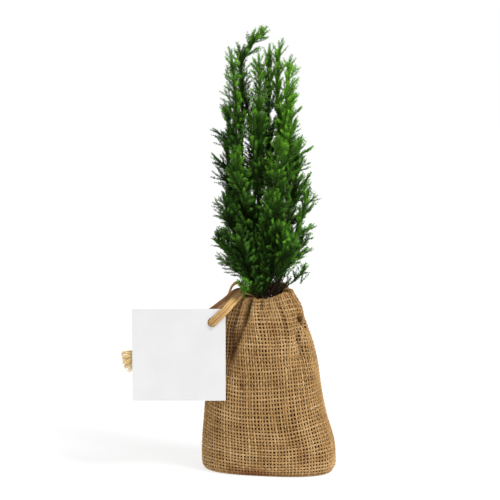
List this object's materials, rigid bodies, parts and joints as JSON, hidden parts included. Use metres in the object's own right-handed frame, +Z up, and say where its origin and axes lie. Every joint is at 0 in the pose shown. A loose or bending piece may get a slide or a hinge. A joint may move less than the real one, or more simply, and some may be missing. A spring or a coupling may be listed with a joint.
{
  "type": "upright conifer sapling in a burlap bag",
  "caption": "Young upright conifer with feathery green foliage, its root ball standing in a gathered burlap bag with a blank square tag on a jute tie.",
  "frame": {"origin": "middle of the bag's flat underside", "axes": "+Z up along the stem, front towards -Y, tag on the -X side"},
  "size_m": [0.1605, 0.0762, 0.335],
  "materials": {
    "burlap": "coarse open weave",
    "soil": "matte crumbly",
    "bark": "rough",
    "needles": "satin green",
    "card": "matte",
    "jute": "matte fibrous"
  },
  "bodies": {
    "root": {"burlap_bag": "burlap", "root_ball": "soil", "trunk": "bark", "bough_left_front": "bark", "bough_left_back": "bark", "bough_middle_front": "bark", "bough_middle_back": "bark", "bough_right": "bark", "bough_right_front": "bark", "bough_right_back": "bark", "foliage_left_front": "needles", "foliage_left_back": "needles", "foliage_middle_front": "needles", "foliage_middle_back": "needles", "foliage_right": "needles", "foliage_right_front": "needles", "foliage_right_back": "needles", "foliage_top": "needles", "foliage_foot_1": "needles", "foliage_foot_3": "needles", "foliage_low_1": "needles", "foliage_low_2": "needles", "foliage_low_3": "needles", "foliage_low_4": "needles", "foliage_low_5": "needles", "foliage_mid_1": "needles", "foliage_mid_2": "needles", "foliage_mid_3": "needles", "foliage_mid_4": "needles", "foliage_mid_5": "needles", "foliage_upper_1": "needles", "foliage_upper_2": "needles", "foliage_upper_3": "needles", "foliage_upper_4": "needles", "foliage_upper_5": "needles", "foliage_crown_1": "needles", "foliage_crown_2": "needles", "foliage_crown_3": "needles", "foliage_crown_4": "needles", "tag": "card", "tie_front": "jute", "tie_rear": "jute", "tie_loop": "jute"}
  },
  "joints": []
}
